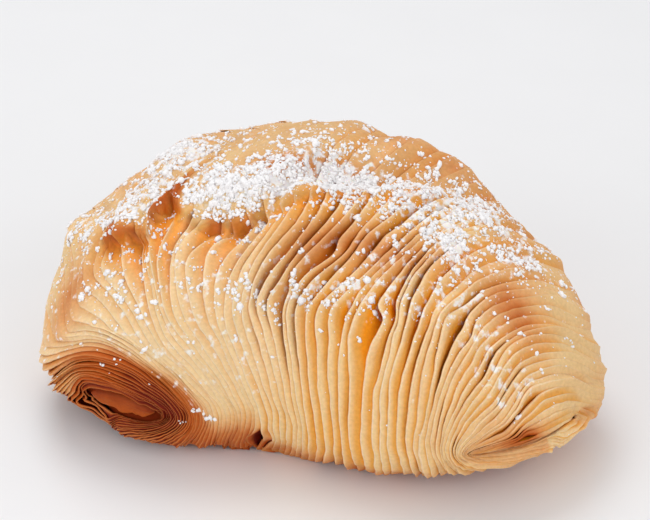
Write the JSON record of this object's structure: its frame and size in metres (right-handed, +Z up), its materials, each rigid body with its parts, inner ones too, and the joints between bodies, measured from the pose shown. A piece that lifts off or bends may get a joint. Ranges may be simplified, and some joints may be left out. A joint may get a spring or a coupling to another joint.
{
  "type": "sfogliatella pastry",
  "caption": "Shell-shaped baked pastry of thin overlapping leaves that fan out from a dark coil at one end, dusted with icing sugar.",
  "frame": {"origin": "middle of the bounding box at the flat base, where the pastry rests", "axes": "+X along the length, from the dark coil towards the tail; +Y towards the back; +Z up"},
  "size_m": [0.116, 0.0876, 0.054],
  "materials": {
    "crust": "matte",
    "sugar": "matte"
  },
  "bodies": {
    "root": {"pastry": "crust"}
  },
  "joints": []
}
